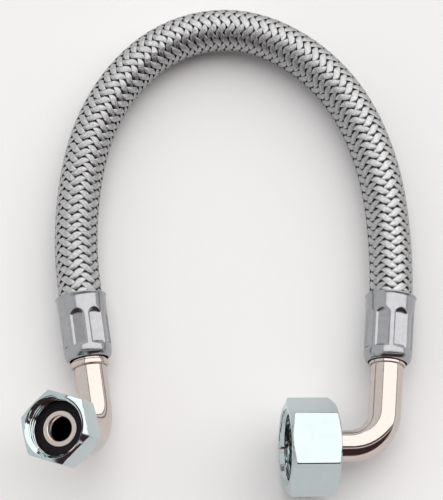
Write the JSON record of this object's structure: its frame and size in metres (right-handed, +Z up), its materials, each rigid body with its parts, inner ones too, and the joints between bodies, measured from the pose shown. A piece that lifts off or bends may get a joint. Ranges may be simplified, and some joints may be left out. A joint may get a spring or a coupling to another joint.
{
  "type": "braided supply line",
  "caption": "Flexible water supply hose in a wire braid, with crimped ferrules, bent tube elbows and loose union nuts that turn and slide.",
  "frame": {"origin": "on the surface the line lies on, under the middle of the fittings", "axes": "+X from the small end to the large end, +Y towards the top of the hose's arch, +Z up"},
  "size_m": [0.1081, 0.1451, 0.0405],
  "materials": {
    "liner_rubber": "matt black EPDM hose liner",
    "seal_rubber": "satin black rubber sealing ring",
    "stainless_braid": "fine bright stainless wire in flat woven bundles",
    "ferrule_steel": "bright drawn stainless steel, slightly rolled and crimped",
    "nickel_brass": "warm polished nickel plate over brass tube",
    "nut_chrome": "bright chrome plate over brass",
    "ring_brass": "bare stamped brass"
  },
  "bodies": {
    "hose_assembly": {"hose_liner": "liner_rubber", "wire_braid": "stainless_braid", "small_end_ferrule": "ferrule_steel", "small_end_hose_tail": "nickel_brass", "small_end_elbow_tube": "nickel_brass", "small_end_seat_collar": "nickel_brass", "small_end_gasket": "seal_rubber", "large_end_ferrule": "ferrule_steel", "large_end_hose_tail": "nickel_brass", "large_end_elbow_tube": "nickel_brass", "large_end_seat_collar": "nickel_brass", "large_end_gasket": "seal_rubber"},
    "small_ring": {"small_end_thrust_ring": "ring_brass"},
    "small_nut": {"small_end_union_nut": "nut_chrome"},
    "large_ring": {"large_end_thrust_ring": "ring_brass"},
    "large_nut": {"large_end_union_nut": "nut_chrome"}
  },
  "joints": [
    {"name": "small_nut_slide", "type": "slide", "parent": "hose_assembly", "child": "small_ring", "axis": [0.3231, 0.048, -0.9452], "range_m": [0, 0.011]},
    {"name": "small_nut_spin", "type": "hinge", "parent": "small_ring", "child": "small_nut", "pos_m": [-0.045, -0.01515, 0.03758], "axis": [-0.3231, -0.048, 0.9452], "continuous": true},
    {"name": "large_nut_slide", "type": "slide", "parent": "hose_assembly", "child": "large_ring", "axis": [0.9904, 0.033, -0.1341], "range_m": [0, 0.0035]},
    {"name": "large_nut_spin", "type": "hinge", "parent": "large_ring", "child": "large_nut", "pos_m": [0.01656, -0.0162, 0.01376], "axis": [-0.9904, -0.033, 0.1341], "continuous": true}
  ]
}
